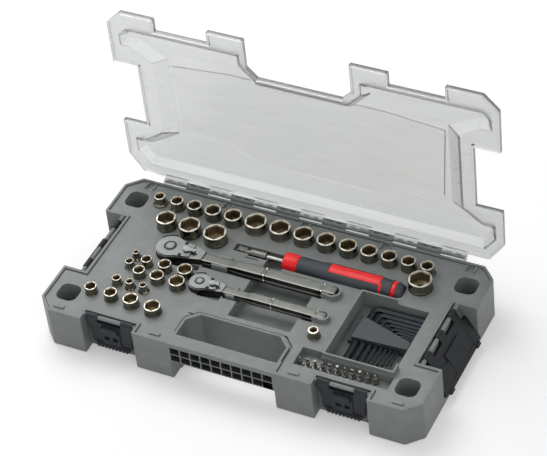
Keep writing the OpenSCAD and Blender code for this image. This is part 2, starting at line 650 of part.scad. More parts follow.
// ---- latches, drawn at their bar: x along the bar, -y outwards, z up
module front_latch() color("#3c4146") difference() {
  w = bay_w / 2 - 2.6;
  t = ear_r - 0.2;
  union() {
    for (s = [-1, 1]) translate([s * (w - 7), 0, 0]) rotate([0, 90, 0])
      cylinder(r = ear_r, h = 14, center = true, $fn = 40);
    for (s = [-1, 1]) translate([s * (w - 7) - 7, -t, -6]) cube([14, t + 0.1, 6]);
    translate([0, 0.1, 0]) rotate([90, 0, 0]) linear_extrude(t - 1)
      polygon([[-w, -5], [w, -5], [w - 4, -22], [w - 4, -latch_h + 5], [w - 9, -latch_h],
               [-w + 9, -latch_h], [-w + 4, -latch_h + 5], [-w + 4, -22]]);
    translate([-11, -t, -latch_h + 4]) cube([22, t, latch_h - 9]);
    translate([-w + 8, -t, -latch_h]) cube([2 * w - 16, t, 6]);
    translate([-9.5, 0, 0]) rotate([90, 0, 90]) linear_extrude(19)
      polygon([[-t + 0.5, -8], [-7, -8], [-7, -10.5], [-t + 0.5, -19]]);
    for (i = [-4:4]) translate([i * 4.2 - 1.4, -t - 0.8, -latch_h - 0.8]) cube([2.8, t, 5]);
  }
  translate([-bay_w, 0, 0]) rotate([0, 90, 0])
    cylinder(r = bar_r + run_gap, h = 2 * bay_w, $fn = 32);
  for (s = [-1, 1]) translate([s * 5 - 3, -t - cut, -27]) cube([6, 2.2 + cut, 5]);
}
module at_front(s) translate([s * bay_x, front_bar_y, bar_z]) children();
module front_latch_left() at_front(-1) front_latch();
module front_latch_right() at_front(1) front_latch();

// side latch: y along the rod, x outwards along the panel's normal, -z down the panel
side_len = 47.5;
neck = 39;
module side_latch() color("#34383c") difference() {
  wide = side_w / 2 - 0.6;
  off = -side_y;
  union() {
    for (y = [-neck + 6, -1, neck - 8]) translate([0, y, 0]) rotate([90, 0, 0])
      cylinder(r = ear_r, h = 12, center = true, $fn = 40);
    for (y = [-neck + 6, -1, neck - 8]) translate([-1.5, y - 6, -7]) cube([4, 12, 7]);
    translate([-1.5, -neck, -15]) cube([4, 2 * neck - 2, 9]);
    translate([-1.5, -wide, -side_len + 2]) cube([4, 2 * wide, side_len - 16.5]);
    translate([-1.5, -wide + 8, -side_len]) cube([4, 2 * wide - 20, 3]);
    translate([2.4, -15, -25]) cube([1.6, 33, 9]);
    for (y = [-34, 36]) translate([-0.5, y - 4, -side_len - 1.5]) cube([4, 8, 4]);
  }
  translate([0, far, 0]) rotate([90, 0, 0]) cylinder(r = bar_r + run_gap, h = 2 * far, $fn = 32);
  translate([2, -neck + 6, -side_len + 6]) cube([1, 20, 16]);
  translate([2, neck - 26, -side_len + 6]) cube([1, 20, 16]);
}
module at_side() translate([side_bar_x, side_y, bar_z]) rotate([0, -side_tilt, 0]) side_latch();
module side_latch_right() at_side();
module side_latch_left() mirror([1, 0, 0]) at_side();

// ---- lid, drawn closed and stood upright at the hinge
lid_z0 = case_h + lid_gap;
lid_z1 = lid_z0 + skirt_h;
lid_z2 = lid_z1 + dome_h;
lid_back = half_w + 0.8;
function mirrored(p) = concat(p, [for (i = [len(p) - 1:-1:0]) [-p[i][0], p[i][1]]]);
function unit(v) = v / norm(v);
function inset(p, t) = let (n = len(p)) [for (i = [0:n - 1])
  let (a = p[(i + n - 1) % n], b = p[i], c = p[(i + 1) % n], u = unit(b - a), v = unit(c - b))
  b + t / (1 + u * v) * [-u[1] - v[1], u[0] + v[0]]];
notch_x = grip_l / 2 + 0.8;
notch_y = hole_y1 - 4;
lid_front = -half_w - lid_over;
lid_side = half_l + lid_over;
lid_rim = mirrored([[notch_x - 12, notch_y], [notch_x, notch_y - 12], [notch_x, lid_front],
  [bay_x - bay_w / 2 - 1, lid_front], [bay_x - bay_w / 2 - 1, -half_w + bay_d - 0.5],
  [bay_x + bay_w / 2 + 1, -half_w + bay_d - 0.5], [bay_x + bay_w / 2 + 1, lid_front],
  [lid_side - 17, lid_front], [lid_side, lid_front + 17], [lid_side, side_y - 43.4],
  [side_in, side_y - 43.4], [side_in, side_y + 37.8], [lid_side, side_y + 37.8],
  [lid_side, lid_back - 24], [lid_side - 16.6, lid_back]]);
dome_y0 = -half_w + bay_d + 7.5;
function dome_foot(s) = mirrored([[notch_x - 8.7, notch_y + flange_w],
  [notch_x + flange_w, notch_y - 8.7], [notch_x + flange_w, dome_y0], [half_l - 16, dome_y0],
  [half_l - 7, dome_y0 + 9.3], [half_l - 7, -64], [half_l - 18.5 - 0.7 * s, -64],
  [side_in - 15.5 - s, -48], [side_in - 15.5 - s, 48], [half_l - 18.5 - 0.7 * s, 65.5],
  [half_l - 7, 65.5], [half_l - 7, 84], [half_l - 21, 102]]);
panel = mirrored([[91, notch_y + 14], [158, -43.5], [153, 48.5], [99, 50.5], [68, 69]]);

module frustum(a, b, z0, z1) {
  n = len(a);
  polyhedron(points = concat([for (p = a) [p[0], p[1], z0]], [for (p = b) [p[0], p[1], z1]]),
    faces = concat([[for (i = [0:n - 1]) i]], [[for (i = [n - 1:-1:0]) n + i]],
      [for (i = [0:n - 1]) [i, n + i, n + (i + 1) % n]],
      [for (i = [0:n - 1]) [i, n + (i + 1) % n, (i + 1) % n]]), convexity = 6);
}
module prism(p, z0, z1) translate([0, 0, z0]) linear_extrude(z1 - z0) polygon(p);

module lid_closed() difference() {
  foot = dome_foot(0);
  top = inset(dome_foot(9), slope_w);
  union() {
    prism(lid_rim, lid_z0, lid_z1);
    frustum(foot, top, lid_z1 - 0.01, lid_z2);
    frustum(panel, inset(panel, 1.5), lid_z2 - 0.2, lid_z2 + 1.2);
    knuckles(lid_knuckles, knuckle_r, seg - seg_gap);
    for (i = lid_knuckles)
      translate([-hinge_l / 2 + i * seg + seg_gap / 2, lid_back - 2, lid_z0])
        cube([seg - seg_gap, hinge_y - lid_back + 2, hinge_z + knuckle_r - lid_z0]);
  }
  prism(inset(lid_rim, lid_t), lid_z0 - cut, lid_z1 - lid_t);
  frustum(inset(foot, lid_t), inset(top, lid_t * 0.8), lid_z1 - lid_t - 0.01, lid_z2 - lid_t);
  translate([-half_l, hinge_y, hinge_z]) rotate([0, 90, 0])
    cylinder(r = pin_r + run_gap, h = case_l, $fn = 32);
}
module lid() color("#dfe6e8") translate([0, hinge_y, hinge_z]) rotate([-90, 0, 0])
  translate([0, -hinge_y, -hinge_z]) lid_closed();

// ---- the nodes
module cover_set(R) {
  ratchet_cover(R);
  ratchet_screws(R);
}
module driver_grip_all() {
  driver_grip();
  grip_end();
}
case_base();
tool_tray_left();
tool_tray_middle();
tool_tray_right();
lid();
hinge_pin();
front_latch_left();
front_latch_right();
side_latch_left();
side_latch_right();
for (i = [0:13]) socket38(row38[i], proud38);
for (i = [0:3]) socket38(large38[i], proud_large);
for (i = [0:14]) socket14(set14[i]);
bit_adapter();
ratchet_body(R38);  // ratchet38_body
cover_set(R38);  // ratchet38_cover
ratchet_selector(R38);  // ratchet38_selector
ratchet_drive(R38);  // ratchet38_drive
ratchet_button(R38);  // ratchet38_button
ratchet_body(R14);  // ratchet14_body
cover_set(R14);  // ratchet14_cover
ratchet_selector(R14);  // ratchet14_selector
ratchet_drive(R14);  // ratchet14_drive
ratchet_button(R14);  // ratchet14_button
driver_shaft();
driver_core();
driver_grip_all();  // driver_grip
bits();
hex_key_holder();
hex_keys();
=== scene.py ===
"""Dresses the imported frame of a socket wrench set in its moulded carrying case.

The case, its clear lid, the latches, the driver, the keys and the bits keep the shape of their
solids, with the soft corners that moulding and tumbling leave. The sockets, the ratchets' handles,
the low walls behind the ratchets' heads and the driver's stripe are surfaces worked out with numpy.
"""

import json
import math

import bmesh
import bpy
import numpy as np
from bpy.props import FloatProperty, FloatVectorProperty, PointerProperty
from bpy.types import Operator, Panel, PropertyGroup
from mathutils import Matrix, Vector

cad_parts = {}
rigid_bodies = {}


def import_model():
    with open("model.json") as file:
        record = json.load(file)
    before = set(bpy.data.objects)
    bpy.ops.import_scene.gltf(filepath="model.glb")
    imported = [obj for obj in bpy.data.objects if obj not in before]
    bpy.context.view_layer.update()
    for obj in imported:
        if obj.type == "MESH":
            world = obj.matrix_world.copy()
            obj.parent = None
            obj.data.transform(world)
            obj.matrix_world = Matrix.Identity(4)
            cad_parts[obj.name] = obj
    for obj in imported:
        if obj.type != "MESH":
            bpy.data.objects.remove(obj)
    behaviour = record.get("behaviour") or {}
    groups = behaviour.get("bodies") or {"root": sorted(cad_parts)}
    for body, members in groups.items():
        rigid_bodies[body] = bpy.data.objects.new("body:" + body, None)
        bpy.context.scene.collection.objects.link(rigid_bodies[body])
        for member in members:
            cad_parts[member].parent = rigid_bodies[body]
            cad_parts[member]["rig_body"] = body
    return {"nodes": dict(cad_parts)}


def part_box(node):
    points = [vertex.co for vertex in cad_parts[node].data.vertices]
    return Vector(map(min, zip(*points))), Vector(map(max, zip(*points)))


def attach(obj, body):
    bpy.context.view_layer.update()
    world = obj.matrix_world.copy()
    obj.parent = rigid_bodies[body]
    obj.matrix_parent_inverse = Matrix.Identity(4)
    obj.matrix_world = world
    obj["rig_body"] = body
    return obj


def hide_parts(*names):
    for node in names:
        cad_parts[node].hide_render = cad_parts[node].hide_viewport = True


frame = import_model()
nodes = frame["nodes"]
MM = 0.001
INCH = 25.4 * MM
# corners of the solids' loose triangles that lie this close are one corner
SAME_POINT = 2e-6
# faces of the solids that turn less than this against each other are one flat face
SAME_FLAT = math.radians(0.6)
# a face of at least this area is a flat wall and is shaded flat
BROAD = 60 * MM * MM

bl_info = {
    "name": "Socket set in case",
    "version": (1, 0, 0),
    "blender": (4, 5, 0),
    "location": "View3D > Sidebar > Socket set",
    "description": "Builds the looks of a socket wrench set around its packed frame",
    "category": "Add Mesh",
}


# ---------------------------------------------------------------- colour and node helpers
def linear(code):
    """An sRGB hex colour as linear red, green and blue: a line near black, a 2.4 power above."""
    parts = np.array([int(code[i : i + 2], 16) for i in (1, 3, 5)]) / 255
    return tuple(np.where(parts <= 0.04045, parts / 12.92, ((parts + 0.055) / 1.055) ** 2.4))


def add(tree, kind, inputs=None, **settings):
    """Adds one shader node, sets its properties, and sets or links its inputs."""
    made = tree.nodes.new("ShaderNode" + kind)
    for key, value in settings.items():
        setattr(made, key, value)
    for key, value in (inputs or {}).items():
        if isinstance(value, bpy.types.NodeSocket):
            tree.links.new(value, made.inputs[key])
        else:
            made.inputs[key].default_value = value
    return made


def blank(name):
    """A new material with an empty node tree, and its Object coordinates."""
    material = bpy.data.materials.new(name)
    material.use_nodes = True
    tree = material.node_tree
    tree.nodes.clear()
    return material, tree, add(tree, "TexCoord").outputs["Object"]


def finished(tree, shader):
    """Links the surface shader to the material's output."""
    add(tree, "OutputMaterial", {"Surface": shader.outputs[0]})


def seen_by_eye(tree):
    """1 on the camera's rays, also past a mirror or through the lid, and 0 on rays that carry light."""
    ray = add(tree, "LightPath").outputs
    seen = ray["Is Camera Ray"]
    for kind in ("Is Glossy Ray", "Is Transmission Ray"):
        seen = add(tree, "Math", {0: seen, 1: ray[kind]}, operation="MAXIMUM").outputs[0]
    return seen


def shades(tree, factor, colour, spread, low=0.35, high=0.65):
    """A colour that drifts by a share of itself: darker where the factor is low, paler where high."""
    ramp = add(tree, "ValToRGB", {"Fac": factor})
    for stop, place, gain in zip(ramp.color_ramp.elements, (low, high), (1 - spread, 1 + spread)):
        stop.position = place
        stop.color = (*(min(1, c * gain) for c in colour), 1)
    return ramp.outputs["Color"]


# ---------------------------------------------------------------- finishes
def moulded_polymer(name, colour, roughness, depth=0.03 * MM, shine=0.5):
    """A moulded polymer, of the kind that its name says. The mould is spark eroded, which leaves a fine
    even grain that breaks highlights up, and the melt's flow leaves faint clouds. Real grain is near
    0.3 mm, drawn here at about 1 mm so that it shows."""
    material, tree, place = blank(name)
    flow, grain = 14 * MM, 1.1 * MM
    cloud = add(tree, "TexNoise", {"Vector": place, "Scale": 1 / flow, "Detail": 3.0}).outputs["Fac"]
    pits = add(tree, "TexNoise", {"Vector": place, "Scale": 1 / grain, "Detail": 2.0}).outputs["Fac"]
    dull = add(tree, "MapRange", {
        "Value": pits, "To Min": roughness - 0.06, "To Max": roughness + 0.06})
    bump = add(tree, "Bump", {"Height": pits, "Strength": 0.35, "Distance": depth})
    finished(tree, add(tree, "BsdfPrincipled", {
        "Base Color": shades(tree, cloud, colour, 0.06),
        "Roughness": dull.outputs["Result"],
        "IOR": 1.49,
        "Specular IOR Level": shine,
        "Normal": bump.outputs["Normal"],
    }))
    return material


def clear_polycarbonate(name, colour, roughness):
    """Clear polycarbonate, moulded and polished. The thick wall tints what is seen through it grey,
    handling has left a soft haze on it, and its slight waviness bends what lies behind."""
    material, tree, place = blank(name)
    ripple, streaks = 38 * MM, 7 * MM
    wave = add(tree, "TexNoise", {"Vector": place, "Scale": 1 / ripple, "Detail": 1.0}).outputs["Fac"]
    # the melt ran along the lid, so its streaks are far longer than they are wide
    along = add(tree, "Mapping", {"Vector": place, "Scale": (0.12, 1.0, 1.0)}).outputs["Vector"]
    streak = add(tree, "TexNoise", {"Vector": along, "Scale": 1 / streaks, "Detail": 3.0}).outputs["Fac"]
    dull = add(tree, "MapRange", {
        "Value": streak, "To Min": roughness - 0.04, "To Max": roughness + 0.06})
    bump = add(tree, "Bump", {"Height": wave, "Strength": 0.2, "Distance": 0.5 * MM})
    finished(tree, add(tree, "BsdfPrincipled", {
        "Base Color": shades(tree, streak, colour, 0.035),
        "Roughness": dull.outputs["Result"],
        "IOR": 1.585,
        "Transmission Weight": 1.0,
        "Normal": bump.outputs["Normal"],
    }))
    return material


def plated_steel(name, colour, roughness, drift=0.06, tall=1.0):
    """Steel, tumbled and then plated with nickel and chrome, or finished as its name says. Tumbling
    leaves soft ripples, so reflections run a little, and handling leaves dull and bright spots. On a
    turned wall the spots are drawn out along z, tall times their width; with a strong drift these long
    bright and dull streaks of colour are painted reflections of the room."""
    material, tree, place = blank(name)
    drawn = add(tree, "Mapping", {"Vector": place, "Scale": (1.0, 1.0, 1 / tall)}).outputs["Vector"]
    spots, grit = 6 * MM, 2 * MM
    haze = add(tree, "TexNoise", {"Vector": drawn, "Scale": 1 / spots, "Detail": 4.0}).outputs["Fac"]
    ripple = add(tree, "TexNoise", {"Vector": place, "Scale": 1 / grit, "Detail": 2.0}).outputs["Fac"]
    dull = add(tree, "MapRange", {
        "Value": haze, "To Min": roughness - 0.05, "To Max": roughness + 0.07})
    bump = add(tree, "Bump", {"Height": ripple, "Strength": 0.4, "Distance": 0.004 * MM})
    finished(tree, add(tree, "BsdfPrincipled", {
        "Base Color": shades(tree, haze, colour, drift),
        "Metallic": 1.0,
        "Roughness": dull.outputs["Result"],
        "Normal": bump.outputs["Normal"],
    }))
    return material


# ---------------------------------------------------------------- mesh helpers
def show(mesh, body, materials, stands_for=(), sharp=32):
    """Puts a mesh in the scene as a piece that rides on its body: smooth but for edges over the sharp
    angle, in degrees."""
    obj = bpy.data.objects.new(mesh.name, mesh)
    bpy.context.scene.collection.objects.link(obj)
    mesh.shade_smooth()
    mesh.set_sharp_from_angle(angle=math.radians(sharp))
    for material in materials:
        mesh.materials.append(material)
    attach(obj, body)
    if stands_for:
        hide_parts(*stands_for)
    return obj


def weigh_edges(work, share, sharp, under):
    """Bevel weights of a moulding's edges. A long outward edge has 1 where it runs along the foot, or
    up a corner under a height, and its neighbours leave it room. Every other sharp edge with some room
    has a share, and the rest 0."""
    foot, long, wide_room, some_room, steep = 10 * MM, 12 * MM, 5 * MM, 1.5 * MM, 0.7
    layer = work.edges.layers.float.new("bevel_weight_edge")
    for edge in work.edges:
        if len(edge.link_faces) != 2 or edge.calc_face_angle(0) < math.radians(sharp):
            continue
        room = min(other.calc_length() for end in edge.verts for other in end.link_edges)
        low, high = sorted(end.co.z for end in edge.verts)
        length = edge.calc_length()
        placed = high < foot or (high - low > steep * length and low + high < 2 * under)
        if room > wide_room and length > long and edge.is_convex and placed:
            edge[layer] = 1.0
        elif room > some_room:
            edge[layer] = share


def softened(names, materials, edge, sharp=32, steps=2, pick=None, seams=(), trim=None,
             corner=0, under=0):
    """The shape of one CAD node, or of the parts of one moulding, with the loose triangles merged and
    the edges rounded, shown in its place. Faces on a seam (axis, place), where two parts of a moulding
    meet, are dropped first. Whatever lies past trim, a place on x, is cut off. pick gives each face's
    material from the faces' middles and normals. edge is the rounding's width. corner, where given, is
    the wider rounding along the foot and up the outer corners whose middles lie lower than under."""
    straight, on_seam = 0.999, 0.01 * MM
    work = bmesh.new()
    for node in names:
        work.from_mesh(nodes[node].data)
    bmesh.ops.remove_doubles(work, verts=work.verts, dist=SAME_POINT)
    meet = [f for f in work.faces if any(
        abs(f.normal[axis]) > straight and abs(f.calc_center_median()[axis] - at) < on_seam
        for axis, at in seams)]
    bmesh.ops.delete(work, geom=meet, context="FACES")
    if trim is not None:
        bmesh.ops.bisect_plane(work, geom=work.verts[:] + work.edges[:] + work.faces[:],
                               plane_co=(trim, 0, 0), plane_no=(1, 0, 0), clear_outer=True)
        bmesh.ops.holes_fill(work, edges=[e for e in work.edges if e.is_boundary])
    bmesh.ops.dissolve_limit(work, angle_limit=SAME_FLAT, verts=work.verts, edges=work.edges)
    if corner:
        weigh_edges(work, edge / corner, sharp, under)
    mesh = bpy.data.meshes.new(names[0] + "_skin")
    work.to_mesh(mesh)
    work.free()
    mesh.polygons.foreach_set("material_index", np.zeros(len(mesh.polygons), np.int32))
    obj = show(mesh, nodes[names[0]]["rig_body"], materials, names, sharp)
    # a broad face is a flat wall, so it takes no bend from the small faces round it
    areas = np.empty(len(mesh.polygons))
    mesh.polygons.foreach_get("area", areas)
    mesh.polygons.foreach_set("use_smooth", areas < BROAD)
    if pick:
        middles, normals = np.empty(3 * len(mesh.polygons)), np.empty(3 * len(mesh.polygons))
        mesh.polygons.foreach_get("center", middles)
        mesh.polygons.foreach_get("normal", normals)
        marks = pick(middles.reshape(-1, 3), normals.reshape(-1, 3)).astype(np.int32)
        mesh.polygons.foreach_set("material_index", marks)
    if edge:
        bevel = obj.modifiers.new("Moulded edge", "BEVEL")
        bevel.width = corner or edge
        bevel.segments = steps
        bevel.limit_method = "WEIGHT" if corner else "ANGLE"
        bevel.angle_limit = math.radians(sharp)
        bevel.harden_normals = True
        bevel.use_clamp_overlap = not corner
    return obj


def surface(name, points, wrap_rows=False):
    """A mesh over a grid of points, or over a stack of grids that are built alike. Each row is a closed
    ring. The rows close on themselves where wrap_rows says so, and otherwise a flat face closes each
    end. The signed volume, a sixth of the sum of corner dot (corner cross corner) over the triangles,
    tells which way the faces point."""
    index = np.arange(points[..., 0].size).reshape(-1, *points.shape[-3:-1])
    low = index if wrap_rows else index[:, :-1]
    high = np.roll(index, -1, 1) if wrap_rows else index[:, 1:]
    quads = np.stack([low, np.roll(low, -1, 2), np.roll(high, -1, 2), high], -1).reshape(-1, 4)
    flat = points.reshape(-1, 3)
    a, b, c, d = (flat[quads[:, i]] for i in range(4))
    volume = np.sum(a * np.cross(b, c)) + np.sum(a * np.cross(c, d))
    ends = [] if wrap_rows else index[:, 0, ::-1].tolist() + index[:, -1].tolist()
    mesh = bpy.data.meshes.new(name)
    mesh.from_pydata(flat.tolist(), [], quads.tolist() + ends)
    if volume < 0:
        mesh.flip_normals()
    mesh.update()
    return mesh


def arc_wall(middle, inner, outer, low, high, first, last):
    """A low wall along an arc, as rings of points. The first parameter is the turn about z, the second
    runs round the wall's section, a rounded rectangle: each of its two coordinates is a sine or cosine
    to a low power with its sign kept, times half the wall's width or height. Towards both ends the
    height falls off in a straight line, down to a share of itself."""
    stations, sides, boxiness, fall, least = 28, 24, 0.35, 1 / 8, 0.3
    share = np.linspace(0, 1, stations)[:, None]
    turn = np.linspace(first, last, stations)[:, None]
    around = np.linspace(0, 2 * math.pi, sides, endpoint=False)
    across, up = (np.sign(v) * abs(v) ** boxiness for v in (np.cos(around), np.sin(around)))
    full = np.clip(np.minimum(share, 1 - share) / fall, least, 1)
    radius = (inner + outer) / 2 + (outer - inner) / 2 * across + 0 * turn
    height = low + (high - low) * full * (up + 1) / 2
    return np.stack([middle[0] + radius * np.cos(turn), middle[1] + radius * np.sin(turn), height], -1)


# ---------------------------------------------------------------- settings
class StageSettings(PropertyGroup):
    """The camera and the studio."""

    focal: FloatProperty(
        name="Focal length", description="Focal length on a 36 mm wide sensor, in millimetres",
        default=157.28, unit="CAMERA")
    azimuth: FloatProperty(
        name="Azimuth", description="How far the camera stands round from the front, towards the right",
        default=0.531911, subtype="ANGLE")
    elevation: FloatProperty(
        name="Elevation", description="How far up the camera looks down from", default=0.742824,
        subtype="ANGLE")
    roll: FloatProperty(
        name="Roll", description="Turn of the camera about its line of sight", default=-0.124113,
        subtype="ANGLE")
    place: FloatVectorProperty(
        name="Camera place", description="Where the camera stands", size=3,
        default=(0.931576, -1.551546, 1.796929), subtype="TRANSLATION", unit="LENGTH")
    key_power: FloatProperty(
        name="Overhead softbox", description="Power of the large lamp over the back left corner",
        default=16.5, unit="POWER")
    fill_power: FloatProperty(
        name="Fill lamp", description="Power of the soft lamp at the front right", default=3.6,
        unit="POWER")
    sky: FloatProperty(
        name="Room light", description="Level of the light that the room gives from all sides",
        default=0.44, min=0, max=1)


class CaseSettings(PropertyGroup):
    """The moulded case and its lid."""

    shell: FloatVectorProperty(
        name="Shell", description="Colour of the case's lower shell", size=3, subtype="COLOR",
        default=linear("#7d817f"))
    tray: FloatVectorProperty(
        name="Tray", description="Colour of the tool tray", size=3, subtype="COLOR",
        default=linear("#838785"))
    latch: FloatVectorProperty(
        name="Latches", description="Colour of the latches", size=3, subtype="COLOR",
        default=linear("#282b30"))
    # painted shade: the side latches are the latches' nylon painted darker, as they face away from the
    # lamp
    side_latch: FloatVectorProperty(
        name="Side latches", description="Colour of the side latches", size=3, subtype="COLOR",
        default=linear("#1a1d21"))
    lid: FloatVectorProperty(
        name="Lid", description="Tint of the clear lid", size=3, subtype="COLOR",
        default=linear("#d9dbda"))
    # painted shade: the panel's deeper tint is the lid's own plastic painted darker
    panel: FloatVectorProperty(
        name="Lid panel", description="Tint of the raised panel in the lid", size=3, subtype="COLOR",
        default=linear("#d2d4d2"))
    # painted shade: the pockets' insides are the shell's plastic painted darker, as hardly any light
    # reaches them
    pocket_shade: FloatVectorProperty(
        name="Pockets", description="Colour inside the pockets in the grip bar's face", size=3,
        subtype="COLOR", default=linear("#3c3f3e"))
    corner: FloatProperty(
        name="Outer corner", description="Width of the rounding along the shell's outer corners",
        default=2.2 * MM, unit="LENGTH")
    edge: FloatProperty(
        name="Moulded edge", description="Width of the rounding along the shell's edges",
        default=0.5 * MM, unit="LENGTH")


class ToolSettings(PropertyGroup):
    """Sockets, ratchets, driver, keys and bits."""

    nickel: FloatVectorProperty(
        name="Black nickel", description="Colour of the sockets' outsides", size=3, subtype="COLOR",
        default=linear("#7a776b"))
    hex_wall: FloatVectorProperty(
        name="Hex walls", description="Colour inside the sockets' hex mouths", size=3,
        subtype="COLOR", default=linear("#8f8470"))
    chrome: FloatVectorProperty(
        name="Satin chrome", description="Colour of the ratchets", size=3, subtype="COLOR",
        default=linear("#7d7f7d"))
    handle: FloatVectorProperty(
        name="Ratchet handles", description="Colour of the handles' flat tops", size=3,
        subtype="COLOR", default=linear("#6c6e69"))
    shaded: FloatVectorProperty(
        name="Shaded chrome", description="Colour of the ratchets' sides, which show the dark tray",
        size=3, subtype="COLOR", default=linear("#4b4c4a"))
    red: FloatVectorProperty(
        name="Red", description="Colour of the driver's collar, panel and ring", size=3,
        subtype="COLOR", default=linear("#fa141b"))
    soft_black: FloatVectorProperty(
        name="Soft grip", description="Colour of the driver's rubber grip", size=3, subtype="COLOR",
        default=linear("#3a3f44"))
    oxide: FloatVectorProperty(
        name="Black oxide", description="Colour of the hex keys", size=3, subtype="COLOR",
        default=linear("#37393d"))
    # painted highlight: the rims' pale colour stands for the light that they catch
    rim: FloatVectorProperty(
        name="Socket rims", description="Colour of the buffed rims", size=3, subtype="COLOR",
        default=linear("#aeaaa0"))
    rim_round: FloatProperty(
        name="Socket rim", description="Radius of the rounding at a socket's rim", default=0.7 * MM,
        unit="LENGTH")


SETTINGS = {
    "socketset_stage": StageSettings,
    "socketset_case": CaseSettings,
    "socketset_tools": ToolSettings,
}


# ---------------------------------------------------------------- stage
class SOCKETSET_OT_stage(Operator):
    """Sets up the camera, the white floor, the room light and two soft lamps."""

    bl_idname = "socketset.stage"
    bl_label = "Stage"

    def execute(self, context):
        scene, cfg = context.scene, context.scene.socketset_stage
        scene.view_settings.view_transform = "Standard"

        data = bpy.data.cameras.new("Camera")
        data.lens, data.sensor_width, data.sensor_fit = cfg.focal, 36.0, "HORIZONTAL"
        data.clip_end = 50
        camera = bpy.data.objects.new("Camera", data)
        scene.collection.objects.link(camera)
        scene.camera = camera
        # the camera looks back along this direction, then turns about it by the roll
        flat = math.cos(cfg.elevation)
        back = Vector((math.sin(cfg.azimuth) * flat, -math.cos(cfg.azimuth) * flat,
                       math.sin(cfg.elevation)))
        right = Vector((math.cos(cfg.azimuth), math.sin(cfg.azimuth), 0))
        above = back.cross(right)
        c, s = math.cos(cfg.roll), math.sin(cfg.roll)
        turned = Matrix((c * right + s * above, -s * right + c * above, back)).transposed()
        camera.matrix_world = Matrix.Translation(cfg.place) @ turned.to_4x4()

        world = bpy.data.worlds.new("Studio room")
        scene.world = world
        world.use_nodes = True
        tree = world.node_tree
        tree.nodes.clear()
        # white to the eye, and only as bright as the setting says where the room gives light
        level = add(tree, "MapRange", {"Value": seen_by_eye(tree), "To Min": cfg.sky, "To Max": 1.0})
        sky = add(tree, "Background", {"Color": (1, 1, 1, 1), "Strength": level.outputs["Result"]})
        add(tree, "OutputWorld", {"Surface": sky.outputs[0]})

        # a matt white floor, lifted to plain white for the eye where no shadow lies on it
        material, tree, _ = blank("White_Studio_Floor")
        lift = add(tree, "Math", {0: seen_by_eye(tree), 1: 0.3}, operation="MULTIPLY")
        matt = add(tree, "BsdfDiffuse", {"Color": (*linear("#e8e8e8"), 1)})
        glow = add(tree, "Emission", {"Color": (1, 1, 1, 1), "Strength": lift.outputs[0]})
        finished(tree, add(tree, "AddShader", {0: matt.outputs[0], 1: glow.outputs[0]}))
        mesh = bpy.data.meshes.new("Floor")
        reach = 6.0
        corners = [(x * reach, y * reach, 0) for x, y in ((-1, -1), (1, -1), (1, 1), (-1, 1))]
        mesh.from_pydata(corners, [], [(0, 1, 2, 3)])
        mesh.materials.append(material)
        floor = bpy.data.objects.new("Floor", mesh)
        scene.collection.objects.link(floor)

        # each lamp's name, place, width and power; both shine at the middle of the case's underside
        lamps = (("Overhead softbox", (-0.7, 0.5, 1.5), 1.3, cfg.key_power),
                 ("Fill lamp", (1.1, -1.1, 1.0), 1.0, cfg.fill_power))
        for name, place, size, power in lamps:
            data = bpy.data.lights.new(name, "AREA")
            data.size, data.energy = size, power
            lamp = bpy.data.objects.new(name, data)
            scene.collection.objects.link(lamp)
            lamp.matrix_world = Matrix.Translation(place) @ (
                Vector(place).to_track_quat("Z", "Y").to_matrix().to_4x4())
        return {"FINISHED"}


# ---------------------------------------------------------------- case
# height of the tray's deck, which the tools lie in
DECK = 50 * MM
# each ratchet: its head's radius, how far from the head's axis the body gives way to the handle, the
# grip's half width, the screws' places from the axis, and the low wall behind the head: its height
# over the deck and the turns, in degrees, between which it runs
RATCHETS = {
    "ratchet38": {"head": 16 * MM, "tail": 40 * MM, "half": 7.4 * MM, "screw": (15.5 * MM, 9.2 * MM),
                  "fence": 7.6 * MM, "span": (88, 150)},
    "ratchet14": {"head": 12 * MM, "tail": 28.5 * MM, "half": 5.8 * MM, "screw": (12 * MM, 6.7 * MM),
                  "fence": 5.6 * MM, "span": (88, 136)},
}
# the hinge's knuckles, numbered from the left, are the lid's and the base's in turn
KNUCKLES = 13
BASE_KNUCKLES = range(1, KNUCKLES, 2)
LID_KNUCKLES = range(0, KNUCKLES, 2)


def head_axis(name):
    """Where the axis of a ratchet's head stands on x and y: its radius in from the body's left end."""
    low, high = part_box(name + "_body")
    return low[0] + RATCHETS[name]["head"], (low[1] + high[1]) / 2


def knuckle_slots(places):
    """Two short slots along the top of each hinge knuckle, as a stack of grids of two rings. Each is a
    thin strip that follows the knuckle's round: the turn about the hinge axis runs over 14 degrees
    just inside the knuckle's radius, and back just over it. The row of knuckles ends a little past
    the pin at both ends, and its axis is the pin's."""
    low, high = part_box("hinge_pin")
    past, offset, half_length, inside, outside = 1 * MM, 5.6 * MM, 3.2 * MM, 3.7 * MM, 4.06 * MM
    pitch = (high[0] - low[0] + 2 * past) / KNUCKLES
    middles = low[0] - past + (np.array(places) + 0.5) * pitch
    sides = np.array((-1, 1))
    x = (middles[:, None, None] + offset * sides[:, None] + half_length * sides).reshape(-1, 2, 1)
    arc = np.radians(np.linspace(97, 111, 5))
    turn, out = np.append(arc, arc[::-1]), np.repeat((inside, outside), len(arc))
    y = (low[1] + high[1]) / 2 + out * np.cos(turn)
    z = (low[2] + high[2]) / 2 + out * np.sin(turn)
    return np.stack(np.broadcast_arrays(x, y, z), -1)


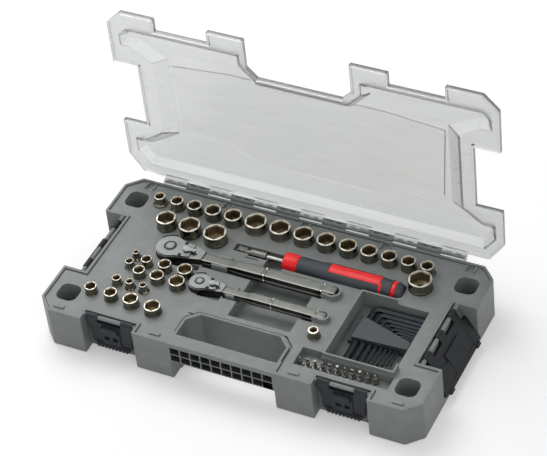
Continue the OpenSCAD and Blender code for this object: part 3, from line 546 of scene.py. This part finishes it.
class SOCKETSET_OT_case(Operator):
    """Dresses the shell, the tool tray and the hinge pin."""

    bl_idname = "socketset.case"
    bl_label = "Case and tray"

    def execute(self, context):
        cfg = context.scene.socketset_case
        # grained polypropylene looks soft and even, the tray a little paler than the shell; the third
        # is the same plastic painted darker where hardly any light falls: painted shade
        shell = moulded_polymer("Grained_Polypropylene_Base", cfg.shell, 0.5)
        tray = moulded_polymer("Grained_Polypropylene_Tray", cfg.tray, 0.52)
        shade = moulded_polymer("Grained_Polypropylene_In_Shade", cfg.pocket_shade, 0.6, shine=0.3)

        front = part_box("case_base")[0][1]

        def pockets(middle, normal):
            """The insides of the pockets in the grip bar's face, which see hardly any light and so take
            the
            painted shade: they lie behind the face and run 59.4 mm to both sides, from 27.2 to 50.5 mm
            up."""
            x, depth, z = abs(middle[:, 0]), middle[:, 1] - front, middle[:, 2]
            behind = (depth > 0.1 * MM) & (depth < 15 * MM)
            return behind & (x < 59.4 * MM) & (z > 27.2 * MM) & (z < 50.5 * MM)

        softened(["case_base"], [shell, shade], cfg.edge, steps=3, pick=pockets,
                 corner=cfg.corner, under=45 * MM)
        # the tray is one moulding: its three parts meet where their boxes end, and 67 mm back
        left, middle, right = (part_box(f"tool_tray_{part}") for part in ("left", "middle", "right"))
        seams = [(0, left[1][0]), (0, middle[0][0]), (0, middle[1][0]), (0, right[0][0]), (1, 67 * MM)]
        softened(["tool_tray_left", "tool_tray_middle", "tool_tray_right"], [tray],
                 cfg.edge, seams=seams)
        # cold-drawn steel is smooth and a little dull, and only shows in the gaps between knuckles
        pin = plated_steel("Drawn_Pin_Steel", linear("#9a9c9e"), 0.35)
        softened(["hinge_pin"], [pin], 0)
        body = nodes["case_base"]["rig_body"]
        # a low wall behind each ratchet's head keeps it in its place, and stands sunk in the deck
        gap, thickness, sunk = 2.6 * MM, 1.7 * MM, 0.4 * MM
        for name, sizes in RATCHETS.items():
            inner = sizes["head"] + gap
            wall = arc_wall(head_axis(name), inner, inner + thickness, DECK - sunk,
                            DECK + sizes["fence"], *np.radians(sizes["span"]))
            show(surface(name + "_fence", wall), body, [tray])
        # hardly any light reaches the slots' floors, so the strips over them are painted nearly black:
        # painted shade
        slot = moulded_polymer("Polypropylene_Painted_Slot_Shade", linear("#232527"), 0.7, shine=0.2)
        show(surface("base_knuckle_slots", knuckle_slots(BASE_KNUCKLES)), body, [slot])
        return {"FINISHED"}


class SOCKETSET_OT_lid(Operator):
    """Dresses the clear lid."""

    bl_idname = "socketset.lid"
    bl_label = "Lid"

    def execute(self, context):
        cfg = context.scene.socketset_case
        # the raised panel looks a little darker than the rest of the lid, so the same plastic takes a
        # deeper tint there: painted shade
        clear = clear_polycarbonate("Clear_Polycarbonate", cfg.lid, 0.28)
        panel = clear_polycarbonate("Clear_Polycarbonate_Panel_Shade", cfg.panel, 0.28)
        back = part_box("lid")[1][1]

        def raised_panel(middle, normal):
            """The outer face of the raised panel, furthest back while the lid stands open, where the
            painted shade goes.
            """
            return (normal[:, 1] > 0.9) & (middle[:, 1] > back - 0.1 * MM)

        softened(["lid"], [clear, panel], cfg.edge, pick=raised_panel)
        # the slots are drawn as opaque grey strips, darker than the clear lid round them
        slot = moulded_polymer("Opaque_Polycarbonate_Slot_Strip", linear("#7d8080"), 0.6)
        show(surface("lid_knuckle_slots", knuckle_slots(LID_KNUCKLES)), nodes["lid"]["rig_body"],
             [slot])
        return {"FINISHED"}


class SOCKETSET_OT_latches(Operator):
    """Dresses the two front and the two side latches."""

    bl_idname = "socketset.latches"
    bl_label = "Latches"

    def execute(self, context):
        cfg = context.scene.socketset_case
        # glass-filled nylon, moulded: darker than the shell and with hardly a highlight. The side
        # latches face away from the lamp, so theirs is the same nylon painted darker still: painted
        # shade
        nylon = moulded_polymer("Glass_Filled_Nylon", cfg.latch, 0.45, shine=0.25)
        darker = moulded_polymer("Glass_Filled_Nylon_Side_In_Shade", cfg.side_latch, 0.45, shine=0.25)
        for side in ("left", "right"):
            softened([f"front_latch_{side}"], [nylon], 0.4 * MM)
            softened([f"side_latch_{side}"], [darker], 0.4 * MM)
        return {"FINISHED"}


# ---------------------------------------------------------------- sockets
# widths across the flats of the hex mouths, in the order in which the sockets stand
ROW_SIZES = [k * INCH / 16 for k in range(5, 10)] + [s * MM for s in range(18, 9, -1)]
LARGE_SIZES = [10 * INCH / 16, 11 * INCH / 16, 12 * INCH / 16, 19 * MM]
QUARTER_SIZES = [s * MM for s in (4, 8, 10, 12, 6, 9, 11, 12.5, 6.35, 5.5, 5, 9, 10, 12, 13)]
# how far the hex mouths are turned clockwise from a corner on x
TURNED = math.radians(10)
THREE_EIGHTHS = {"drive": 9.5 * MM, "hex_depth": 12 * MM, "outer": lambda s: 1.16 * s + 3.8 * MM}
QUARTER = {"drive": 6.35 * MM, "hex_depth": 9 * MM, "outer": lambda s: 1.2 * s + 2.6 * MM}
# share of a socket's length that its wide foot takes
FOOT_SHARE = 0.64


def prism_radius(turn, sides, inner, corner=1.0):
    """Distance from the middle to the wall of a regular prism: the inner radius over the cosine of the
    angle from the nearest flat's middle, cut off at a share of the corner's distance."""
    half = math.pi / sides
    away = np.mod(turn, 2 * half) - half
    return np.minimum(inner / np.cos(away), corner * inner / math.cos(half))


def socket_points(low, high, size, kind, rim):
    """A socket as one closed ring surface. The first parameter runs round the axis, the second runs
    along the wall: from the square drive's edge out over the foot, up the outside, over the rounded
    rim, down the lead-in into the mouth and down to the drive again. At each station the distance
    from the axis is a circle's, a hexagon's, a square's, or halfway between two of them. The rim's
    inner edge is a wider hexagon's, cut off where it would leave the rim too thin."""
    drive = kind["drive"]
    turn = np.linspace(0, 2 * math.pi, 96, endpoint=False)
    ring = np.ones_like(turn)
    hexagon = prism_radius(turn + TURNED, 6, size / 2, 0.975)
    square = prism_radius(turn + math.pi / 4, 4, drive / 2, 0.93)
    foot, wall = (high[0] - low[0]) / 2, kind["outer"](size) / 2
    top, bottom = high[2], low[2]
    step = bottom + FOOT_SHARE * (top - bottom)
    lip = np.minimum(prism_radius(turn + TURNED, 6, size / 2 + 0.9 * MM), wall - 0.95 * rim)
    hole = min(size, drive) * 0.42
    stations = []

    def station(radius, z):
        stations.append((radius * ring, z))

    station(square + 0.5 * MM, bottom)
    station(foot - 1.3 * rim, bottom)
    for a in np.linspace(0, math.pi / 2, 4)[1:]:
        station(foot - 0.9 * rim * (1 - math.sin(a)), bottom + 0.9 * rim * (1 - math.cos(a)))
    station(foot, step - 0.5 * MM)
    station(foot - 0.12 * MM, step - 0.15 * MM)
    drop = foot - wall
    station(foot - 0.3 * MM - 0.1 * drop, step + 0.1 * MM + 0.1 * drop)
    station(wall + 0.1 * drop, step + 0.2 * MM + 0.9 * drop)
    station(wall, step + 0.7 * MM + drop)
    station(wall, top - 1.6 * rim)
    for a in np.linspace(0, math.pi / 2, 6):
        station(wall - rim * (1 - math.cos(a)), top - rim * (1 - math.sin(a)))
    # the lead-in: from the rim's inner edge, which follows the hexagon, steeply down to its walls
    station(lip, top)
    station(lip - 0.06 * MM, top - 0.05 * MM)
    station(0.5 * (lip + hexagon), top - 0.7 * MM)
    station(hexagon, top - 1.6 * MM)
    floor = top - kind["hex_depth"]
    station(hexagon, floor + 0.8 * MM)
    station(hexagon - 0.2 * MM, floor + 0.2 * MM)
    station(0.5 * (hexagon + hole), floor)
    station(hole + 0.3 * MM, floor - 0.1 * MM)
    station(hole, floor - 0.5 * MM)
    station(hole, bottom + drive + 1.3 * MM)
    station(hole + 0.2 * MM, bottom + drive + 1.0 * MM)
    station(square, bottom + drive + 0.8 * MM)
    station(square, bottom + 0.6 * MM)
    radii, heights = (np.array(column) for column in zip(*stations))
    middle = (low + high) / 2
    points = np.stack([middle[0] + radii * np.cos(turn), middle[1] + radii * np.sin(turn),
                       np.broadcast_to(heights[:, None], radii.shape)], -1)
    # the rim, which takes the painted highlight, runs from its rounding to the mouth's edge, and the
    # mouth is all that comes after
    marks = np.zeros(len(stations), np.int32)
    marks[np.flatnonzero(heights > top - 1.1 * rim)[0] :] = 1
    marks[np.flatnonzero(heights > top - 0.1 * MM)[-1] :] = 2
    return points, marks


def make_socket(node, size, kind, rim, materials):
    """One socket in place of its solid: plated outside, with a painted highlight on its rim, broached
    inside.
    """
    low, high = (np.array(corner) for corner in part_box(node))
    points, marks = socket_points(low, high, size, kind, rim)
    mesh = surface(node + "_shell", points, wrap_rows=True)
    show(mesh, nodes[node]["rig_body"], materials, [node], sharp=28)
    mesh.polygons.foreach_set("material_index", np.repeat(marks, points.shape[1]))


class SOCKETSET_OT_sockets(Operator):
    """Builds the three-eighths and quarter-inch sockets and the bit adapter."""

    bl_idname = "socketset.sockets"
    bl_label = "Sockets"

    def execute(self, context):
        cfg = context.scene.socketset_tools
        # black nickel and chrome over tumbled steel: dark walls with long bright and dull streaks, which
        # are painted reflections of the room, a pale rim, which is a painted highlight, and a duller
        # mouth, which the broach cut
        # painted reflections: the colour drifts by 0.3 in streaks nine times taller than they are wide
        plate = plated_steel("Black_Nickel_Chrome_Plate", cfg.nickel, 0.2, drift=0.3, tall=9.0)
        rim = plated_steel("Rim_Painted_Highlight_Plate", cfg.rim, 0.14)
        broached = plated_steel("Broached_Hex_Wall", cfg.hex_wall, 0.34, drift=0.2)
        finishes = [plate, rim, broached]
        small_rim = 0.75 * cfg.rim_round
        for group, sizes, kind, rounding in (
                ("socket38_row", ROW_SIZES, THREE_EIGHTHS, cfg.rim_round),
                ("socket38_large", LARGE_SIZES, THREE_EIGHTHS, cfg.rim_round),
                ("socket14", QUARTER_SIZES, QUARTER, small_rim)):
            for i, size in enumerate(sizes):
                make_socket(f"{group}_{i + 1}", size, kind, rounding, finishes)
        adapter = dict(QUARTER, outer=lambda s: 12.3 * MM)
        make_socket("bit_adapter", INCH / 4, adapter, cfg.rim_round, finishes)
        return {"FINISHED"}


# ---------------------------------------------------------------- ratchets
# the looks of the ratchets' faces: satin chrome, a painted highlight, and painted shade with the dark
# tray's painted reflection
SATIN, PAINTED_HIGHLIGHT, PAINTED_SHADE = 0, 1, 2
# a face of the body whose normal's upward share is over this looks up
FACING_UP = 0.7
# radius of a cover screw's head
SCREW_HEAD = 2.15 * MM
# the handle's section from the middle of its top round to the middle of its underside:
# (share of the half width, share of the half height, look of the face up to the next point: satin,
# painted highlight, painted shade)
HANDLE_SECTION = (
    (0.0, 1.0, SATIN), (0.45, 1.0, SATIN), (0.84, 1.0, SATIN), (0.92, 0.985, PAINTED_HIGHLIGHT),
    (0.98, 0.93, PAINTED_HIGHLIGHT), (1.0, 0.84, PAINTED_SHADE), (0.985, 0.74, PAINTED_SHADE), (0.9, 0.66, PAINTED_SHADE),
    (0.9, 0.02, PAINTED_SHADE), (0.985, -0.04, PAINTED_HIGHLIGHT), (1.0, -0.1, PAINTED_HIGHLIGHT), (1.0, -0.2, PAINTED_HIGHLIGHT),
    (0.985, -0.26, PAINTED_SHADE), (0.9, -0.34, PAINTED_SHADE), (0.88, -0.7, PAINTED_SHADE), (0.7, -0.93, PAINTED_SHADE),
    (0.4, -1.0, PAINTED_SHADE), (0.0, -1.0, PAINTED_SHADE))
# stations along the handle: (share of the reach, share of the half width, share of the half height)
HANDLE_STATIONS = (
    (0.17, 0.86, 0.6), (0.19, 0.87, 0.7), (0.22, 0.8, 0.7), (0.26, 0.74, 0.7), (0.37, 0.74, 0.7),
    (0.39, 0.76, 0.84), (0.41, 0.82, 0.95), (0.43, 0.84, 0.965), (0.567, 0.84, 0.965),
    (0.57, 0.78, 0.9), (0.574, 0.78, 0.9), (0.5745, 0.9, 0.99), (0.583, 0.9, 0.99),
    (0.5835, 0.78, 0.9), (0.588, 0.78, 0.9), (0.591, 0.84, 0.965), (0.914, 0.84, 0.965),
    (0.917, 0.78, 0.9), (0.92, 0.78, 0.9), (0.9205, 0.89, 0.98), (0.9265, 0.89, 0.98),
    (0.927, 0.72, 0.9), (0.929, 0.72, 0.94), (0.985, 0.72, 0.94), (0.994, 0.68, 0.88),
    (0.998, 0.6, 0.76), (0.9995, 0.45, 0.6))
# the stations at which the two raised bands begin, and the share of the half width past which their
# faces take the painted highlight
BANDS = (0.5745, 0.9205)
BAND_SIDES = 0.8


def handle_points(middle, reach, half):
    """A ratchet handle as rings along x. A ring is the section times the station's shares of the half
    width: y runs from the section's first column, and then its mirror image back again. Each face takes
    its look from the section: satin, painted highlight, painted shade. The two raised bands take the
    painted highlight at their sides."""
    section = np.array(HANDLE_SECTION)
    wide = np.concatenate([-section[:, 0], section[-2:0:-1, 0]])
    high = np.concatenate([section[:, 1], section[-2:0:-1, 1]])
    face_looks = np.concatenate([section[:-1, 2], section[-2::-1, 2]]).astype(np.int32)
    stations = np.array(HANDLE_STATIONS)
    rings = np.stack([
        np.broadcast_to(middle[0] + reach * stations[:, :1], (len(stations), len(wide))),
        middle[1] + half * stations[:, 1:2] * wide, middle[2] + half * stations[:, 2:] * high], -1)
    marks = np.tile(face_looks, (len(stations) - 1, 1))
    marks[np.ix_(np.isin(stations[:-1, 0], BANDS), abs(wide) > BAND_SIDES)] = PAINTED_HIGHLIGHT
    return rings, marks


class SOCKETSET_OT_ratchets(Operator):
    """Builds both ratchets' handles and dresses their heads, covers, selectors, drives and buttons."""

    bl_idname = "socketset.ratchets"
    bl_label = "Ratchets"

    def execute(self, context):
        cfg = context.scene.socketset_tools
        # steel blasted before it was chromed looks satin; polished steel would show the lamps as bright
        # lines on edges and the dark tray on walls, and here both are painted: painted highlights on the
        # edges, painted shade with the tray's painted reflection on the walls
        satin = plated_steel("Satin_Chrome_Plate", cfg.chrome, 0.38)
        worn = plated_steel("Satin_Chrome_Handle", cfg.handle, 0.4)
        bright = plated_steel("Chrome_Painted_Highlight", linear("#d4d2cc"), 0.14)
        dark = plated_steel("Polished_Chrome_In_Shade", cfg.shaded, 0.16, drift=0.2)
        # the cast lever is polished but uneven, and phosphated screws and drives are dull and dark
        lever = plated_steel("Cast_Lever_Steel", linear("#8d8f8d"), 0.22, drift=0.25)
        grey = plated_steel("Phosphated_Screw_Steel", linear("#3c3e3f"), 0.4)

        def body_faces(middle, normal):
            """Satin on what faces up, and painted shade with the dark tray's painted reflection on the
            walls.
            """
            return np.where(normal[:, 2] > FACING_UP, SATIN, PAINTED_SHADE)

        for name, sizes in RATCHETS.items():
            x, y = head_axis(name)

            def screw_heads(middle, normal):
                """Both screws of the cover, each within its head's radius of its axis."""
                away = np.hypot(middle[:, 0] - x - sizes["screw"][0],
                                abs(middle[:, 1] - y) - sizes["screw"][1])
                return away < SCREW_HEAD

            softened([name + "_body"], [satin, bright, dark], 0.6 * MM,
                     pick=body_faces, trim=x + sizes["tail"])
            end, _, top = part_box(name + "_body")[1]
            rings, marks = handle_points((x, y, top - sizes["half"]), end - x, sizes["half"])
            mesh = surface(name + "_handle", rings)
            show(mesh, nodes[name + "_body"]["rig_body"], [worn, bright, dark],
                 sharp=24)
            # the two flat ends come after all the faces along the handle
            marks = np.append(marks.ravel(), [PAINTED_SHADE] * (len(mesh.polygons) - marks.size))
            mesh.polygons.foreach_set("material_index", marks.astype(np.int32))
            softened([name + "_cover"], [satin, grey], 0.2 * MM, pick=screw_heads)
            softened([name + "_selector"], [lever], 0.3 * MM)
            softened([name + "_drive"], [grey], 0.15 * MM)
            softened([name + "_button"], [satin], 0.25 * MM)
        return {"FINISHED"}


# ---------------------------------------------------------------- driver
def stripe_points(middle, radius, first, last, width, bulge=0.35 * MM):
    """A thin raised stripe that runs down round the grip as a grid of closed rings. The first
    parameter is the turn round the grip from the top towards the front, the second runs round the
    stripe's section, an ellipse: width times a cosine over two along the grip's axis, and the radius
    plus the bulge times a sine away from it."""
    turn = np.linspace(first, last, 24)[:, None]
    around = np.linspace(0, 2 * math.pi, 12, endpoint=False)
    x = middle[0] + 0.5 * width * np.cos(around) + 0 * turn
    out = radius + bulge * np.sin(around) + 0 * turn
    return np.stack([x, middle[1] - out * np.sin(turn), middle[2] + out * np.cos(turn)], -1)


class SOCKETSET_OT_driver(Operator):
    """Dresses the quarter-inch driver: shaft, red core, soft grip and the red stripe round it."""

    bl_idname = "socketset.driver"
    bl_label = "Driver"

    def execute(self, context):
        cfg = context.scene.socketset_tools
        # the nickel-plated sleeve is dark and blurred, and the shaft behind it mirrors the tray
        nickel = plated_steel("Dark_Nickel_Shaft", linear("#63625f"), 0.26, drift=0.15)
        shaft = plated_steel("Bright_Nickel_Shaft", linear("#8e8f8c"), 0.16)
        # the red core came from a smooth mould and shines softly, and the rubber on it hardly at all
        red = moulded_polymer("Red_Polypropylene", cfg.red, 0.36, depth=0.01 * MM)
        rubber = moulded_polymer("Soft_Touch_Rubber", cfg.soft_black, 0.55)
        # places along the driver, counted from the front of its collar: where the shaft's dark sleeve
        # ends and its bright part begins, and where the stripe lies on the grip
        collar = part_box("driver_core")[0][0]
        sleeve_end, stripe_x = collar - 20.9 * MM, collar + 114.2 * MM
        softened(["driver_shaft"], [nickel, shaft], 0.2 * MM,
                 pick=lambda middle, normal: middle[:, 0] > sleeve_end)
        softened(["driver_core"], [red], 0.5 * MM)
        softened(["driver_grip"], [rubber], 0.4 * MM)
        low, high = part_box("driver_grip")
        middle = (stripe_x, (low[1] + high[1]) / 2, (low[2] + high[2]) / 2)
        stripe = stripe_points(middle, radius=11.55 * MM, first=math.radians(24),
                               last=math.radians(118), width=3 * MM)
        show(surface("driver_stripe", stripe), nodes["driver_grip"]["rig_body"], [red])
        return {"FINISHED"}


# ---------------------------------------------------------------- keys and bits
class SOCKETSET_OT_keys(Operator):
    """Dresses the hex keys, their holder and the row of bits."""

    bl_idname = "socketset.keys"
    bl_label = "Hex keys and bits"

    def execute(self, context):
        cfg = context.scene.socketset_tools
        # hardened steel blackened in hot salts has a dull grey sheen, the moulded nylon holder is
        # flat and dark, and the sandblasted bits scatter light evenly
        oxide = plated_steel("Black_Oxide_Steel", cfg.oxide, 0.45)
        nylon = moulded_polymer("Black_Nylon_Holder", linear("#47494e"), 0.5, shine=0.4)
        steel = plated_steel("Sandblasted_Bit_Steel", linear("#868782"), 0.44, drift=0.2)
        softened(["hex_keys"], [oxide], 0.15 * MM)
        softened(["hex_key_holder"], [nylon], 0.4 * MM)
        softened(["bits"], [steel], 0.12 * MM)
        return {"FINISHED"}


# ---------------------------------------------------------------- panel and registration
OPERATORS = (SOCKETSET_OT_stage, SOCKETSET_OT_case, SOCKETSET_OT_lid, SOCKETSET_OT_latches,
             SOCKETSET_OT_sockets, SOCKETSET_OT_ratchets, SOCKETSET_OT_driver, SOCKETSET_OT_keys)


class SOCKETSET_PT_panel(Panel):
    """Lists the steps that build the set, with their settings."""

    bl_label = "Socket set"
    bl_idname = "SOCKETSET_PT_panel"
    bl_space_type = "VIEW_3D"
    bl_region_type = "UI"
    bl_category = "Socket set"

    def draw(self, context):
        for operator in OPERATORS:
            self.layout.operator(operator.bl_idname)
        for name, group in SETTINGS.items():
            box = self.layout.box()
            for key in group.__annotations__:
                box.prop(getattr(context.scene, name), key)


CLASSES = (*SETTINGS.values(), *OPERATORS, SOCKETSET_PT_panel)


def register():
    for made in CLASSES:
        bpy.utils.register_class(made)
    for name, group in SETTINGS.items():
        setattr(bpy.types.Scene, name, PointerProperty(type=group))


def unregister():
    for name in SETTINGS:
        delattr(bpy.types.Scene, name)
    for made in reversed(CLASSES):
        bpy.utils.unregister_class(made)


def main():
    """Builds every piece in order."""
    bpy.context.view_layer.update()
    register()
    bpy.ops.socketset.stage()
    bpy.ops.socketset.case()
    bpy.ops.socketset.lid()
    bpy.ops.socketset.latches()
    bpy.ops.socketset.sockets()
    bpy.ops.socketset.ratchets()
    bpy.ops.socketset.driver()
    bpy.ops.socketset.keys()


if __name__ == "__main__":
    main()
